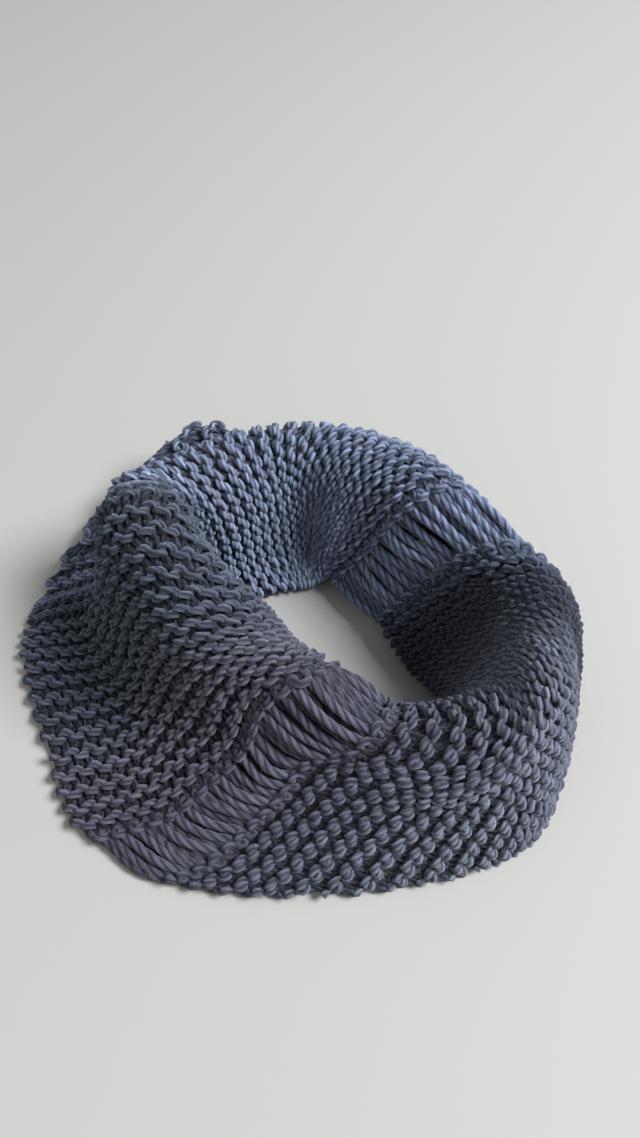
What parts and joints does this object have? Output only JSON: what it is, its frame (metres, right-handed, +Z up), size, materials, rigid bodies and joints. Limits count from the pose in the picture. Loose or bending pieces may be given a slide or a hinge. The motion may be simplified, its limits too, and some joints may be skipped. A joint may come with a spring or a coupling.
{
  "type": "neck gaiter",
  "caption": "Hand-knitted loop cowl of chunky plied yarn in garter stitch with two drop-stitch bands, lying on a table with its top edge rolled over.",
  "frame": {"origin": "centre of the bounding box's bottom face, on the table plane", "axes": "+X along the long way of the loop, away from the joining seam; +Y towards the back rim; +Z up, out of the neck opening"},
  "size_m": [0.2923, 0.2603, 0.0951],
  "materials": {
    "yarn_charcoal": "soft fuzzy knit",
    "yarn_brown_grey": "soft fuzzy knit",
    "yarn_grey": "soft fuzzy knit",
    "yarn_slate": "soft fuzzy knit",
    "yarn_blue_grey": "soft fuzzy knit",
    "yarn_lavender_grey": "soft fuzzy knit"
  },
  "bodies": {
    "root": {"join_seam": "yarn_charcoal", "cast_on_edge": "yarn_charcoal", "garter_left_1": "yarn_charcoal", "garter_left_2": "yarn_charcoal", "garter_left_3": "yarn_brown_grey", "drop_stitch_band_front": "yarn_brown_grey", "garter_front_1": "yarn_grey", "garter_front_2": "yarn_grey", "garter_front_3": "yarn_grey", "garter_right_1": "yarn_slate", "garter_right_2": "yarn_slate", "garter_right_3": "yarn_slate", "drop_stitch_band_back": "yarn_blue_grey", "garter_back_1": "yarn_blue_grey", "garter_back_2": "yarn_blue_grey", "garter_back_3": "yarn_blue_grey", "garter_back_4": "yarn_lavender_grey", "garter_back_5": "yarn_lavender_grey", "bind_off_edge": "yarn_lavender_grey"}
  },
  "joints": []
}
